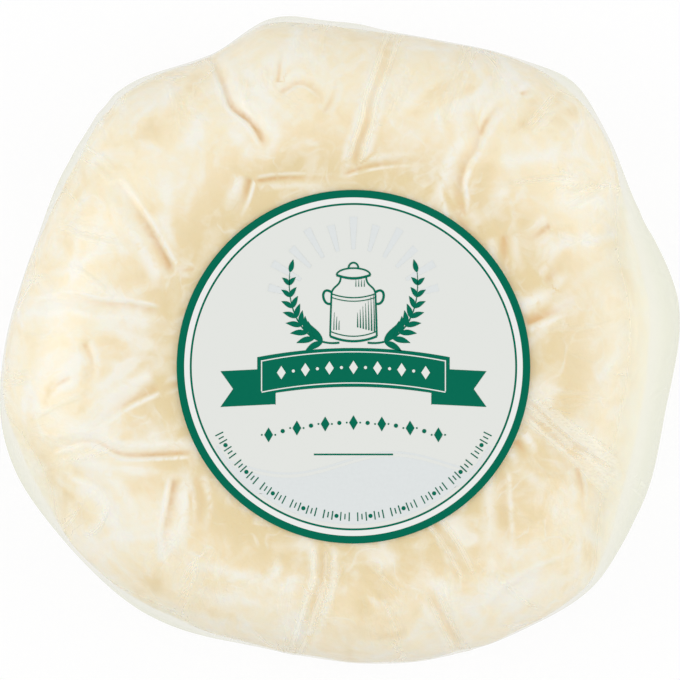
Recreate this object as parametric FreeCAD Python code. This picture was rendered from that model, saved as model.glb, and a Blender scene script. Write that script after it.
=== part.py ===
import FreeCAD, Part
import math
import os

# A soft-ripened sheep cheese in its clear film, with a round paper label.
#
# The cheese was drained in a gathered cloth, so it is a low, lobed dome with a
# dimple in its top and cloth folds pressed into its rind. The film is pulled
# down over the dome, stands away from it between the lobes, and is gathered
# underneath into flat pleats that end in a round pressed seal. The label lies
# on the film and spans the dimple.
#
# Millimetres, +Z up, origin at the bottom centre of the whole. Every piece is
# worked out about the cheese's own upright axis and then moved there together.

# ---- The cheese ---------------------------------------------------------------
CHEESE_HEIGHT = 28.0        # from its base to the top of the dome, without the dimple
BELT_HEIGHT = 11.0          # from its base to its widest line
BASE_INSET = 7.0            # how far the base's edge lies inside the widest line
DOME_FLATNESS = 5.6         # exponent: how far out the dome's top stays level
DOME_SHOULDER = 2.0         # exponent: how round the shoulder is
BASE_LOBES = 0.45           # share of the outline's bulges that is left at the base
DIMPLE_DEPTH = 6.0
DIMPLE_FLOOR_RADIUS = 14.0  # where the dimple's floor starts to rise
DIMPLE_RIM_RADIUS = 37.0    # where it has risen to the dome

# Where the widest line bulges and pulls in: (azimuth in degrees, radius).
CHEESE_OUTLINE = [
    (5, 47.4),
    (22, 47.8),
    (40, 51.4),
    (52, 50.8),
    (70, 47.1),
    (85, 46.2),
    (100, 47.3),
    (111, 45.1),
    (130, 46.6),
    (146, 44.3),
    (164, 44.2),
    (190, 46.9),
    (205, 46.1),
    (222, 46.3),
    (240, 45.0),
    (262, 44.5),
    (290, 48.0),
    (305, 50.1),
    (318, 51.6),
    (332, 48.6),
    (346, 47.0),
]

# ---- Cloth folds in the rind ----------------------------------------------------
# A place is (azimuth in degrees, reach), where reach is the distance from the top
# centre along the surface. Each fold runs from its inner to its outer place and
# bows sideways between them: (inner, outer, bow, depth, half width).
FOLDS = [
    ((106, 30.0), (112, 47.0), 2.4, 1.5, 1.9),
    ((99, 35.5), (92, 40.0), -1.6, 0.7, 1.5),
    ((81, 25.0), (77, 58.0), 1.2, 1.1, 1.9),
    ((114, 27.0), (58, 30.5), 2.6, 1.1, 1.5),
    ((114, 26.0), (126, 22.0), 0.0, 0.9, 1.5),
    ((43, 27.0), (63, 52.0), -2.4, 1.3, 1.9),
    ((54, 38.5), (52, 45.5), 0.0, 0.8, 1.6),
    ((18, 32.0), (32, 38.0), -1.6, 0.9, 2.0),
    ((4, 30.0), (11, 39.5), 0.0, 1.5, 2.2),
    ((349, 29.5), (333, 58.0), 1.4, 1.2, 2.0),
    ((327, 31.0), (309, 43.0), 0.8, 1.0, 1.8),
    ((293, 44.0), (297, 60.0), 0.8, 0.9, 1.9),
    ((270, 29.0), (264, 60.0), -1.0, 1.1, 1.9),
    ((221, 29.0), (235, 40.5), 0.8, 1.2, 1.8),
    ((221, 24.5), (202, 44.5), -0.8, 1.4, 1.8),
    ((194, 25.0), (201, 36.5), 0.6, 1.3, 1.7),
    ((206, 39.5), (228, 41.0), -2.6, 0.8, 1.8),
    ((180, 33.5), (189, 34.5), 0.0, 0.7, 1.4),
    ((169, 24.5), (172, 44.0), 1.2, 1.2, 1.8),
    ((155, 23.5), (139, 41.0), -0.8, 1.5, 2.0),
    ((133, 48.0), (131, 62.0), 0.8, 0.9, 2.0),
    ((20, 50.0), (21, 64.0), 0.8, 0.9, 2.2),
]
LIP_SHARE = 0.3             # a fold's lips stand up by this share of its depth
LIP_DISTANCE = 1.9          # and lie this many half widths from its line
FOLD_BOWL_SHARE = 0.55      # the broad hollow round a fold, as a share of its depth
FOLD_BOWL_SPREAD = 3.2      # and how many half widths it spreads

# ---- The film -------------------------------------------------------------------
FILM_WALL = 0.3             # drawn this thick, so that it is a solid; really 0.03
FILM_GAP = 0.25             # clearance over the highest lip of a fold
FILM_CLING = 0.6            # how deep the film dips into a fold, as a share of its depth
PLEAT_COUNT = 24            # pleats gathered underneath
PLEAT_HEIGHT = 0.6          # from a pleat's crest to the root of the next one
PLEAT_TOP = 0.62            # where the flutes above them fade out, as a share of the belt
SEAL_RADIUS = 21.0          # the round pressed seal that the pleats end in

# Where the film is stretched away from the cheese: (azimuth, stand-off, spread).
FILM_TENTS = [
    (8, 4.3, 19.0),
    (46, 0.7, 9.0),
    (100, 0.9, 6.0),
    (142, 1.3, 12.0),
    (203, 1.9, 12.0),
    (241, 1.3, 11.0),
    (340, 3.7, 17.0),
]
# Ridges where the film doubles over itself: (inner, outer, bow, height, half width).
FILM_RIDGES = [
    ((80, 30.5), (77, 56.0), 1.2, 0.5, 1.5),
    ((348, 33.0), (334, 56.0), 1.4, 0.6, 1.6),
    ((344, 34.0), (330, 54.0), 1.4, 0.45, 1.4),
    ((267, 31.5), (264, 58.0), -1.0, 0.5, 1.5),
    ((62, 32.0), (63, 54.0), -1.6, 0.4, 1.5),
    ((307, 35.0), (303, 58.0), 0.8, 0.4, 1.6),
    ((140, 34.0), (142, 60.0), 0.8, 0.45, 1.6),
    ((184, 38.0), (186, 60.0), 0.6, 0.4, 1.6),
    ((20, 36.0), (24, 60.0), -1.0, 0.5, 1.8),
]

# ---- The label ------------------------------------------------------------------
LABEL_RADIUS = 25.0
LABEL_PAPER = 0.25          # thickness
LABEL_SHIFT = (4.3, -2.9)   # its centre, and the dimple's, from the cheese's axis
LABEL_MARGIN = 2.2          # level film round the label's edge
LABEL_FALL = 0.09           # how the film may curve down past that: mm for a mm squared

# ---- How finely the surfaces are drawn --------------------------------------------
AROUND = 216                # poles round the axis
DOWN = 62                   # poles from the top centre to the base's edge
UNDER = 12                  # poles of the film from there in to the seal
SECTORS, BANDS = 6, 3       # patches that each surface is cut into
PROFILE_STEPS = 400         # steps for measuring along the profile


def ramp(value, low, high):
    """0 below low, 1 above high, and a smooth rise between them."""
    share = min(max((value - low) / (high - low), 0.0), 1.0)
    return share * share * (3.0 - 2.0 * share)


def turn_between(azimuth, other):
    """The smaller angle from other to azimuth, in degrees, from -180 to 180."""
    return (azimuth - other + 180.0) % 360.0 - 180.0


def through_anchors(anchors, azimuth):
    """A smooth closed curve through (azimuth, value) anchors, read at an azimuth.
    Each span is a cubic whose slope at an anchor is that of its two neighbours."""
    count = len(anchors)
    azimuth %= 360.0
    after = next((i for i, (at, _) in enumerate(anchors) if at > azimuth), 0)
    spots = [anchors[(after + step) % count] for step in (-2, -1, 0, 1)]
    angles = [turn_between(at, azimuth) for at, _ in spots]
    values = [value for _, value in spots]
    span = angles[2] - angles[1]
    share = -angles[1] / span
    start = (values[2] - values[0]) / (angles[2] - angles[0]) * span
    end = (values[3] - values[1]) / (angles[3] - angles[1]) * span
    blend = share * share * (3.0 - 2.0 * share)
    between = values[1] * (1.0 - blend) + values[2] * blend
    leaving = start * share * (1.0 - share) ** 2
    arriving = end * share * share * (1.0 - share)
    return between + leaving - arriving


def mean_radius():
    """The cheese's mean radius at its widest line."""
    total = sum(through_anchors(CHEESE_OUTLINE, a) for a in range(360))
    return total / 360.0


MEAN_RADIUS = mean_radius()
DOME_HEIGHT = CHEESE_HEIGHT - BELT_HEIGHT


def dome(share):
    """Height above the widest line, where share is the radius as a share of its own."""
    return DOME_HEIGHT * (1.0 - share**DOME_FLATNESS) ** (1.0 / DOME_SHOULDER)


def profile():
    """The mean profile as (radius share, height over the base, reach), from the top
    centre over the shoulder to the base's edge: the dome, then a quarter ellipse."""
    spots = []
    for step in range(PROFILE_STEPS + 1):
        share = math.sin(math.pi / 2 * step / PROFILE_STEPS)
        spots.append((share, BELT_HEIGHT + dome(share)))
    inset = BASE_INSET / MEAN_RADIUS
    for step in range(1, PROFILE_STEPS + 1):
        turn = math.pi / 2 * step / PROFILE_STEPS
        share = 1.0 - inset * (1.0 - math.cos(turn))
        spots.append((share, BELT_HEIGHT * (1.0 - math.sin(turn))))
    reached = 0.0
    measured = [(*spots[0], reached)]
    for before, now in zip(spots, spots[1:]):
        across = (now[0] - before[0]) * MEAN_RADIUS
        reached += math.hypot(across, now[1] - before[1])
        measured.append((*now, reached))
    return measured


PROFILE = profile()
FULL_REACH = PROFILE[-1][2]
BELT_REACH = PROFILE[PROFILE_STEPS][2]


def on_profile(reach):
    """(radius share, height, outward tilt across, outward tilt up) at a reach."""
    index = next((i for i, spot in enumerate(PROFILE) if spot[2] >= reach), len(PROFILE) - 1)
    index = max(index, 1)
    before, now = PROFILE[index - 1], PROFILE[index]
    share = min(max((reach - before[2]) / (now[2] - before[2]), 0.0), 1.0)
    across = (now[0] - before[0]) * MEAN_RADIUS
    up = now[1] - before[1]
    length = math.hypot(across, up)
    return (
        before[0] + (now[0] - before[0]) * share,
        before[1] + up * share,
        -up / length,
        across / length,
    )


def unrolled(azimuth, reach):
    """The flat map on which folds are drawn: reach and azimuth as polar coordinates."""
    turn = math.radians(azimuth)
    return reach * math.cos(turn), reach * math.sin(turn)


def line_points(inner, outer, bow, pieces=8):
    """A line's points on the flat map: straight from end to end, and bowed sideways
    by a parabola."""
    start, end = unrolled(*inner), unrolled(*outer)
    run = (end[0] - start[0], end[1] - start[1])
    length = math.hypot(*run)
    points = []
    for step in range(pieces + 1):
        share = step / pieces
        aside = 4.0 * bow * share * (1.0 - share) / length
        points.append(
            (start[0] + run[0] * share - run[1] * aside, start[1] + run[1] * share + run[0] * aside)
        )
    return points


FOLD_LINES = [(line_points(a, b, bow), depth, half) for a, b, bow, depth, half in FOLDS]
RIDGE_LINES = [(line_points(a, b, bow), rise, half) for a, b, bow, rise, half in FILM_RIDGES]


def distance_to(points, spot):
    """The distance from a spot on the flat map to a line."""
    nearest = math.inf
    for (ax, ay), (bx, by) in zip(points, points[1:]):
        rx, ry = bx - ax, by - ay
        share = ((spot[0] - ax) * rx + (spot[1] - ay) * ry) / (rx * rx + ry * ry)
        share = min(max(share, 0.0), 1.0)
        gap = math.hypot(spot[0] - ax - rx * share, spot[1] - ay - ry * share)
        nearest = min(nearest, gap)
    return nearest


def bell(value):
    """1 at 0, falling smoothly to 0 on both sides."""
    return math.exp(-value * value)


def fold_relief(azimuth, reach):
    """How far the folds move the rind out (in, below zero): a narrow valley between
    two lips, in a broader hollow."""
    spot = unrolled(azimuth, reach)
    sunk, lifted = 0.0, 0.0
    for points, depth, half in FOLD_LINES:
        gap = distance_to(points, spot) / half
        if gap < 3.0 * FOLD_BOWL_SPREAD:
            valley = depth * (bell(gap) + FOLD_BOWL_SHARE * bell(gap / FOLD_BOWL_SPREAD))
            sunk = max(sunk, valley)
            lifted = max(lifted, depth * LIP_SHARE * bell(gap - LIP_DISTANCE))
    return lifted - sunk


HIGHEST_LIP = LIP_SHARE * max(fold[3] for fold in FOLDS)


def ridge_relief(azimuth, reach):
    """How far the film's ridges stand up: each is two thin crests side by side."""
    spot = unrolled(azimuth, reach)
    risen = 0.0
    for points, rise, half in RIDGE_LINES:
        gap = distance_to(points, spot) / half
        if gap < 4.0:
            risen = max(risen, rise * (bell(2.0 * (gap - 0.7)) + 0.4 * bell(gap)))
    return risen


def outline_radius(azimuth, share, level):
    """The radius at a share of the full one: the outline's bulges fade towards the
    top centre, and below the widest line towards the base."""
    bulge = through_anchors(CHEESE_OUTLINE, azimuth) - MEAN_RADIUS
    low = min(level / BELT_HEIGHT, 1.0)
    kept = BASE_LOBES + (1.0 - BASE_LOBES) * ramp(low, 0.0, 1.0)
    return share * (MEAN_RADIUS + bulge * kept * share)


def from_label_centre(x, y):
    """The distance across from the label's centre."""
    return math.hypot(x - LABEL_SHIFT[0], y - LABEL_SHIFT[1])


def dimple(x, y):
    """How far the dome's top is sunk, by distance from the label's centre."""
    rise = ramp(from_label_centre(x, y), DIMPLE_FLOOR_RADIUS, DIMPLE_RIM_RADIUS)
    return DIMPLE_DEPTH * (1.0 - rise)


def cheese_point(azimuth, reach, out=0.0):
    """A point of the cheese without its folds, moved out along the profile's normal."""
    share, level, across, up = on_profile(reach)
    turn = math.radians(azimuth)
    radius = outline_radius(azimuth, share, level) + out * across
    x, y = radius * math.cos(turn), radius * math.sin(turn)
    sunk = dimple(x, y) if reach < BELT_REACH else 0.0
    return x, y, CHEESE_FLOOR + level - sunk + out * up


FILM_FLOOR = PLEAT_HEIGHT + FILM_WALL
CHEESE_FLOOR = FILM_FLOOR + FILM_GAP


def over_folds(reach):
    """1 where the folds have their full depth, falling to 0 at the base's edge."""
    return 1.0 - ramp(reach, FULL_REACH - BASE_INSET, FULL_REACH)


def folded_cheese_point(azimuth, reach):
    """A point of the cheese's rind with its folds."""
    return cheese_point(azimuth, reach, fold_relief(azimuth, reach) * over_folds(reach))


def stand_off(azimuth, reach):
    """How far the film is stretched away from the cheese: most at the widest line."""
    away = sum(rise * bell(turn_between(azimuth, at) / spread) for at, rise, spread in FILM_TENTS)
    rising = ramp(reach, 0.45 * BELT_REACH, BELT_REACH)
    falling = 1.0 - ramp(reach, BELT_REACH, FULL_REACH)
    return away * rising * falling


def label_seat():
    """The height of the film's inner face under the label: clear of the highest rind
    there, and of the film's own stand-off."""
    highest = 0.0
    for azimuth in range(0, 360, 3):
        for step in range(1, 30):
            reach = step * BELT_REACH / 30
            out = HIGHEST_LIP + FILM_GAP + stand_off(azimuth, reach)
            x, y, z = cheese_point(azimuth, reach, out)
            if from_label_centre(x, y) < LABEL_RADIUS + LABEL_MARGIN:
                highest = max(highest, z)
    return highest


LABEL_SEAT = label_seat()


def flute(azimuth):
    """The pleats' sawtooth: 0 at a crest, rising to 1 at the root of the next pleat."""
    return azimuth * PLEAT_COUNT / 360.0 % 1.0


def film_point(azimuth, reach, wall):
    """A point of the film over the cheese, never lower than the label's seat or the
    face that it ends in. It dips into the folds, less where it stands away from them.
    wall is 0 on its inner face and FILM_WALL on its outer one."""
    away = stand_off(azimuth, reach)
    fold = min(fold_relief(azimuth, reach), 0.0) * FILM_CLING / (1.0 + away)
    out = (HIGHEST_LIP + fold) * over_folds(reach) + FILM_GAP + wall + away
    if wall:
        low = ramp(reach, BELT_REACH + (FULL_REACH - BELT_REACH) * (1.0 - PLEAT_TOP), FULL_REACH)
        out += ridge_relief(azimuth, reach) + low * PLEAT_HEIGHT * (1.0 - flute(azimuth))
    x, y, z = cheese_point(azimuth, reach, out)
    if reach < BELT_REACH:
        beyond = max(from_label_centre(x, y) - LABEL_RADIUS - LABEL_MARGIN, 0.0)
        lowest = LABEL_SEAT + wall - LABEL_FALL * beyond * beyond
    elif wall:
        lowest = PLEAT_HEIGHT * flute(azimuth)
    else:
        lowest = FILM_FLOOR
    return x, y, max(z, lowest)


def smooth_patches(point, rows):
    """Faces whose poles are point(azimuth, row) for each row, closed round the axis: a
    cubic B-spline, with its first row at the top centre, in SECTORS x BANDS patches."""
    poles = []
    for step in range(AROUND):
        azimuth = 360.0 * step / AROUND
        poles.append([FreeCAD.Vector(*point(azimuth, row)) for row in rows])
    knots_around = [float(i) for i in range(AROUND + 1)]
    inner_knots = len(rows) - 4
    knots_down = [float(i) for i in range(inner_knots + 2)]
    surface = Part.BSplineSurface()
    surface.buildFromPolesMultsKnots(
        poles,
        [1] * (AROUND + 1),
        [4] + [1] * inner_knots + [4],
        knots_around,
        knots_down,
        True,
        False,
        3,
        3,
    )
    round_axis = [AROUND * step // SECTORS for step in range(SECTORS + 1)]
    downwards = [(inner_knots + 1) * step // BANDS for step in range(BANDS + 1)]
    patches = []
    for left, right in zip(round_axis, round_axis[1:]):
        for top, bottom in zip(downwards, downwards[1:]):
            patch = surface.copy()
            patch.segment(left, right, top, bottom)
            patches.append(patch.toShape())
    return patches


def closed_with_floor(patches, level):
    """A solid inside the patches and a level face across their edge at that height."""
    wall = Part.makeShell(patches)
    wall.sewShape()
    edges = [e for e in wall.Edges if not e.Degenerated]
    rim = [e for e in edges if abs(e.BoundBox.ZMin - level) + abs(e.BoundBox.ZMax - level) < 0.002]
    floor = Part.Face(Part.Wire(Part.__sortEdges__(rim)))
    shell = Part.makeShell(wall.Faces + [floor])
    shell.sewShape()
    solid = Part.Solid(shell)
    return solid if solid.Volume > 0 else solid.reversed()


def even_reaches():
    """The rows' reaches from the top centre to the base's edge, evenly spaced."""
    return [FULL_REACH * step / (DOWN - 1) for step in range(DOWN)]


def make_cheese():
    """The dome, dimpled and folded, on its level base."""
    wall = smooth_patches(folded_cheese_point, even_reaches())
    return closed_with_floor(wall, CHEESE_FLOOR)


def film_inner_face():
    """The film's inner face over the cheese, down to the level of its floor."""

    def point(azimuth, reach):
        return film_point(azimuth, reach, 0.0)

    return smooth_patches(point, even_reaches())


def film_outer_face():
    """The film's outer face, which turns under the base and runs in to the seal. The
    pleats there fan in as a sawtooth that flattens towards the seal."""
    inset = UNDER + 1

    def point(azimuth, row):
        if row <= FULL_REACH:
            return film_point(azimuth, row, FILM_WALL)
        share = (row - FULL_REACH) / inset
        x, y, _ = film_point(azimuth, FULL_REACH, FILM_WALL)
        edge = math.hypot(x, y)
        radius = edge + (SEAL_RADIUS - edge) * share
        rise = PLEAT_HEIGHT * flute(azimuth) * (1.0 - ramp(share, 0.5, 1.0))
        return x * radius / edge, y * radius / edge, rise

    rows = even_reaches() + [FULL_REACH + step for step in range(1, inset + 1)]
    return smooth_patches(point, rows)


def make_film():
    """The film as one thin-walled solid, closed round the cheese."""
    outer = closed_with_floor(film_outer_face(), 0.0)
    inner = closed_with_floor(film_inner_face(), FILM_FLOOR)
    return outer.cut(inner)


def make_label():
    """The round paper label, flat on the film across the dimple."""
    seat = FreeCAD.Vector(*LABEL_SHIFT, LABEL_SEAT + FILM_WALL)
    return Part.makeCylinder(LABEL_RADIUS, LABEL_PAPER, seat)


def main():
    """Makes the pieces, moves them to the common origin and writes them."""
    pieces = {"cheese": make_cheese(), "film_wrap": make_film(), "label": make_label()}
    box = pieces["film_wrap"].BoundBox
    to_origin = FreeCAD.Vector(-box.Center.x, -box.Center.y, -box.ZMin)
    os.makedirs("parts", exist_ok=True)
    for name, solid in pieces.items():
        solid.translate(to_origin)
        solid.exportStep(f"parts/{name}.step")
        size = solid.BoundBox
        print(
            f"{name}: valid {solid.isValid()}, volume {solid.Volume / 1000:.1f} cm3, "
            f"{size.XLength:.1f} x {size.YLength:.1f} x {size.ZLength:.1f} mm"
        )


main()
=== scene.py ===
import math
from functools import partial

import bpy
import numpy as np
from bpy.props import FloatProperty, FloatVectorProperty, IntProperty, PointerProperty
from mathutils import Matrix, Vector


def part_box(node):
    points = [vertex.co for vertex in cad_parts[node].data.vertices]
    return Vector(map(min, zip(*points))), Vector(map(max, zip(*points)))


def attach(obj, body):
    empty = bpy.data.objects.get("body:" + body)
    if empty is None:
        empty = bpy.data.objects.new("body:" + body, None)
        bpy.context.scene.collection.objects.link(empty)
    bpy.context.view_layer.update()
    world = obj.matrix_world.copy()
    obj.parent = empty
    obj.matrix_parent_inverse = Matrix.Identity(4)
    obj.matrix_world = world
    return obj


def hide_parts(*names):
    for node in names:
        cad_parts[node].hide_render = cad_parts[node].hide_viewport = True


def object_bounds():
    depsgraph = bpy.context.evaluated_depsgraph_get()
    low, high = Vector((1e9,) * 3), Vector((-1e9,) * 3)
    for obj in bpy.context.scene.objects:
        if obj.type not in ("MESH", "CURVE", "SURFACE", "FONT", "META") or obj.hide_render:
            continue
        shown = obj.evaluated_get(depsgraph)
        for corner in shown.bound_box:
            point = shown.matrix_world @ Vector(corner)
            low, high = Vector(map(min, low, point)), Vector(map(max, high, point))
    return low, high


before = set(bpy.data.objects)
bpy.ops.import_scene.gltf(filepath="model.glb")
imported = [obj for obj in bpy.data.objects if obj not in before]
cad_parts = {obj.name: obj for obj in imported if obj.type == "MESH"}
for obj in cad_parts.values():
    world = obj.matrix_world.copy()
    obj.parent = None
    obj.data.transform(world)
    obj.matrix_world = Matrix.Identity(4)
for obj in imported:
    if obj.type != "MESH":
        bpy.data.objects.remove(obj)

# A soft-ripened sheep cheese in its clear film, with a round paper label.
#
# The cheese is a low, lobed dome with a dimple in its top and cloth folds pressed
# into its moist rind: cream yellow, smeared with white bloom, tan deep in the folds.
# The film clings to it, stands away from it between the lobes, doubles into fine
# ridges and is gathered underneath into pleats round a pressed seal. The label lies
# on the film across the dimple; its print is green line work of a milk churn
# between two leafy sprigs, over a blank ribbon.
#
# Shapes are worked out in millimetres about the cheese's own upright axis. A place
# on the cheese is (azimuth in degrees, reach), where reach is the distance from the
# top centre along the surface.

bl_info = {
    "name": "Soft sheep cheese in film",
    "version": (1, 0, 0),
    "blender": (4, 5, 0),
    "location": "3D View > Sidebar > Cheese",
    "description": "Builds a lobed soft cheese in clear film with a paper label",
    "category": "Object",
}

MM = 0.001
CAD_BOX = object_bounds()
LABEL_LOW, LABEL_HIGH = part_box("label")

# The label's centre, and the dimple's, from the cheese's axis.
LABEL_SHIFT = (4.3, -2.9)
AXIS_X = (LABEL_LOW.x + LABEL_HIGH.x) / 2 / MM - LABEL_SHIFT[0]
AXIS_Y = (LABEL_LOW.y + LABEL_HIGH.y) / 2 / MM - LABEL_SHIFT[1]
CHEESE_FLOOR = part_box("cheese")[0].z / MM
LABEL_SEAT = LABEL_LOW.z / MM
LABEL_RADIUS = (LABEL_HIGH.x - LABEL_LOW.x) / 2 / MM

# Where the cheese's widest line bulges and pulls in: (azimuth, radius).
CHEESE_OUTLINE = [
    (5, 47.4), (22, 47.8), (40, 51.4), (52, 50.8), (70, 47.1), (85, 46.2), (100, 47.3),
    (111, 45.1), (130, 46.6), (146, 44.3), (164, 44.2), (190, 46.9), (205, 46.1),
    (222, 46.3), (240, 45.0), (262, 44.5), (290, 48.0), (305, 50.1), (318, 51.6),
    (332, 48.6), (346, 47.0),
]

# Cloth folds in the rind, each from the label outwards: (places on its line, depth,
# half width, tan, steep side). Tan is how strongly its floor is coloured; the steep
# side is 1 for the left of the line, -1 for the right and 0 for neither.
FOLDS = [
    (((106, 29.5), (108, 34), (111, 38), (111, 42.5), (111, 52)), 1.2, 1.0, 1.0, 1),
    (((100, 37.5), (99, 40), (98, 43.5)), 0.5, 0.7, 0.5, 0),
    (((100, 36), (95, 37.5), (91, 36), (90, 33.5)), 0.5, 0.8, 0.5, -1),
    (((90, 33), (88, 35.5), (87, 39)), 0.4, 0.7, 0.4, 0),
    (((80, 25), (80, 28.5), (79, 32.5), (79, 36), (78, 41.5), (78, 47)), 0.7, 1.1, 0.35, 0),
    (((113, 26), (107, 25.2), (101, 24.3), (89, 24), (84, 24.5)), 0.5, 0.6, 1.0, 1),
    (((84, 24.6), (75, 26.5), (67, 28), (60, 29.2)), 0.6, 0.6, 0.8, -1),
    (((113, 26.6), (118, 24), (124, 22.3)), 0.8, 0.9, 0.9, 1),
    (
        ((40, 25), (43, 26), (49, 28), (52, 31), (53, 34.5), (58, 38.5), (62, 44)),
        1.0, 1.1, 0.55, -1,
    ),
    (((53, 35), (54, 37), (54, 41)), 0.7, 0.8, 0.8, 0),
    (((52, 43.5), (51, 45.5)), 0.4, 0.7, 0.6, 0),
    (((37, 25), (45, 25.2), (54, 27.2)), 0.4, 0.9, 0.5, 1),
    (((32, 29), (25, 28), (19, 28.5)), 0.5, 1.3, 0.9, 0),
    (((28, 35.5), (27, 31)), 0.5, 1.0, 0.8, 0),
    (((16, 32.6), (19, 35.5)), 0.5, 1.1, 0.7, 0),
    (((6, 28.5), (8, 32), (10, 36)), 0.9, 1.4, 1.1, -1),
    (((346, 29.5), (342, 33.5), (339, 37.5), (337, 44), (335, 48)), 0.5, 0.8, 0.3, 1),
    (((342, 29.6), (339, 34), (336, 39), (333, 46)), 0.4, 0.7, 0.3, -1),
    (((334, 29.8), (333, 30.8), (331, 32.2)), 1.0, 1.2, 1.2, 0),
    (((326, 29.5), (319, 32), (312, 36), (307, 38)), 0.6, 1.1, 0.2, 1),
    (((335, 39.5), (331, 41.5), (327, 42.5)), 0.5, 0.9, 0.7, 1),
    (((293, 37), (294, 44), (294, 58)), 0.5, 1.2, 0.25, 0),
    (((270, 28), (270, 33.5), (268, 39), (266, 50)), 0.6, 1.2, 0.25, 0),
    (((221, 28), (227, 32.5), (231, 36.5), (236, 39.5)), 0.8, 1.1, 0.7, -1),
    (((225, 26), (232, 28.5), (236, 33)), 0.5, 0.9, 0.5, 0),
    (((220, 23.6), (212, 29.5), (208, 33), (202, 36.5), (201, 44)), 1.0, 0.8, 0.9, 1),
    (((194, 23.6), (196, 28.5), (198, 32), (200, 36)), 0.9, 1.1, 0.6, 1),
    (((206, 41.5), (211, 38.5), (217, 38), (224, 39.5), (229, 41)), 0.7, 1.3, 0.1, -1),
    (((179, 34.5), (184, 33), (190, 33.5)), 0.5, 0.8, 0.5, 0),
    (((187, 36), (188, 38), (190, 41)), 0.4, 0.8, 0.5, 0),
    (((168, 24), (168, 29), (169, 33.5), (169, 38.5), (172, 46)), 0.7, 1.0, 0.35, -1),
    (((154, 24), (150, 27), (146, 30.5), (143, 35), (141, 40)), 1.3, 1.3, 0.9, -1),
    (((149, 21.8), (153, 24.3)), 0.4, 0.6, 0.7, 0),
    (((194, 19.6), (195, 24)), 0.5, 0.7, 0.7, 0),
    (((301, 25.5), (302, 30), (301, 35)), 0.5, 1.0, 0.4, -1),
    (((301, 43), (308, 41.5), (315, 42), (323, 46)), 0.6, 1.4, 0.1, 1),
    (((133, 48), (132, 55), (131, 62)), 0.7, 1.6, 0.1, 0),
    (((20, 50), (21, 57), (21, 64)), 0.7, 1.8, 0.1, 0),
]
STEEP = 0.45                # how much narrower a fold is on its steep side
NARROWEST = 0.40            # but no side of it is narrower than this
VALLEY_SHARE = 0.38         # how deep its narrow valley is, as a share of its depth
FOLD_BOWL_SHARE = 0.16      # and the broad hollow round it
FOLD_BOWL_SPREAD = 3.4      # how many half widths that hollow spreads
LIP_SHARE = 0.2             # a fold's lips stand up by this share of its depth
LIP_DISTANCE = 1.3          # and lie this many half widths from its line
LIP_SPREAD = 0.6            # and spread over this many

SWELL_AT_BASE = 0.3         # the share of its swelling that the cheese has at the base's edge
HIGHEST_LUMP = 0.12         # the rind's gentle lumps rise no more than this

# The dimple is filled under the label, so that film and label don't hang over a gap.
FILL_MARGIN = 2.0           # how far past the label's edge the filling is level
FILL_DROP = 0.25            # how far below the label's seat it is
FILL_FALL = 0.06            # how it curves down outside: mm for a mm squared
FILL_BLEND = 0.3            # how softly it runs out into the dome

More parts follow.
